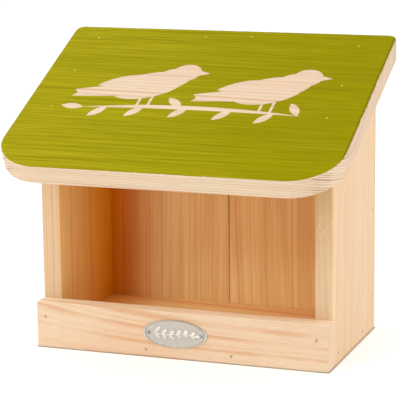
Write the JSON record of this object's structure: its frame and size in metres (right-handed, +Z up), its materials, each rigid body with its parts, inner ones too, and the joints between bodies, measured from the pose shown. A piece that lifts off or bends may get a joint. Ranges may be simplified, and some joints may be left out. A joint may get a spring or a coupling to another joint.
{
  "type": "birdhouse",
  "caption": "Open-fronted wooden nest box with a low front board and a sloping, round-cornered painted roof with bird silhouettes; keyhole hanger at the back.",
  "frame": {"origin": "bottom centre of the bounding box, roof overhang included; z = 0 is the underside of the box", "axes": "+X to the right seen from the front, +Y to the back face that goes against a wall, +Z up"},
  "size_m": [0.275, 0.183, 0.24],
  "materials": {
    "pine": "planed, untreated",
    "roof_paint": "thin satin olive green paint on wood",
    "nail_steel": "dull bright steel",
    "badge_metal": "stamped, satin",
    "hanger_zinc": "zinc plated"
  },
  "bodies": {
    "root": {"back_floor_nails": "nail_steel", "back_plank_left": "pine", "back_plank_right": "pine", "badge_pins": "nail_steel", "badge_plate": "badge_metal", "floor_board": "pine", "front_board": "pine", "front_floor_nails": "nail_steel", "front_side_nails": "nail_steel", "hanger_plate": "hanger_zinc", "hanger_screws": "hanger_zinc", "left_side": "pine", "right_side": "pine", "roof_back_nails": "nail_steel", "roof_board": "pine", "roof_paint": "roof_paint", "roof_side_nails": "nail_steel", "side_back_nails": "nail_steel", "side_floor_nails": "nail_steel"}
  },
  "joints": []
}
